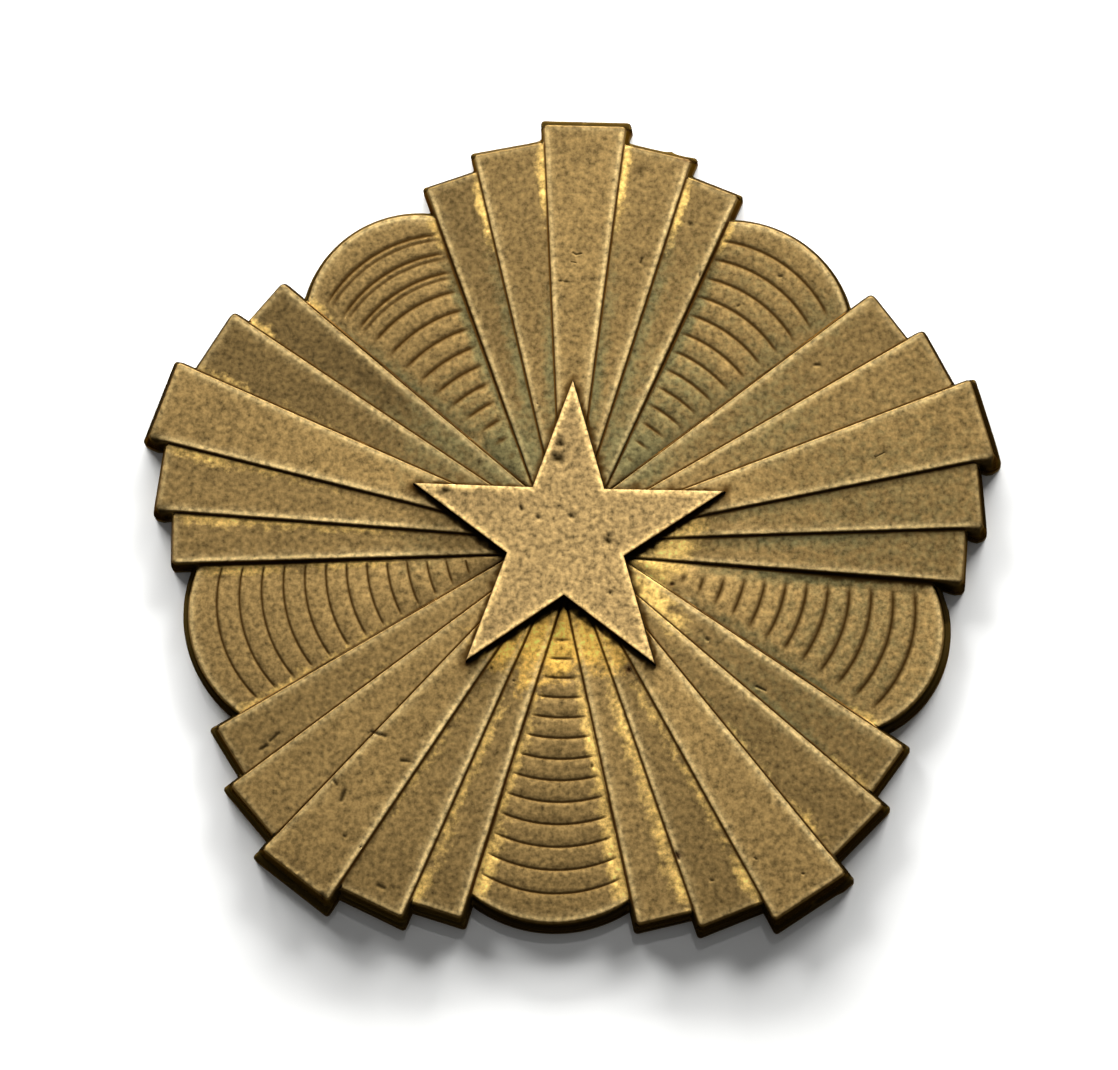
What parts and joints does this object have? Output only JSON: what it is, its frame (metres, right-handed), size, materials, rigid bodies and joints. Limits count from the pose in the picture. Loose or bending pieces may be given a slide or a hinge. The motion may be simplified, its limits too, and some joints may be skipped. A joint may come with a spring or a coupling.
{
  "type": "police star badge",
  "caption": "Struck metal badge of stepped flat rays and scalloped fields with cut arc lines, a plain riveted star in the middle, and a brooch pin in its hollow back.",
  "frame": {"origin": "on the rest plane, in the middle of the outline's length and width", "axes": "+Z out of the badge's face, +Y along the main ray that points up when worn, +X to the right as seen from the front"},
  "size_m": [0.066, 0.064, 0.0029],
  "materials": {
    "struck_bronze": "patinated, fine matte grain",
    "star_bronze": "patinated, rubbed lighter",
    "pin_metal": "dull nickel plate"
  },
  "bodies": {
    "root": {"badge_plate": "struck_bronze", "star": "star_bronze", "brooch_pin": "pin_metal"}
  },
  "joints": []
}
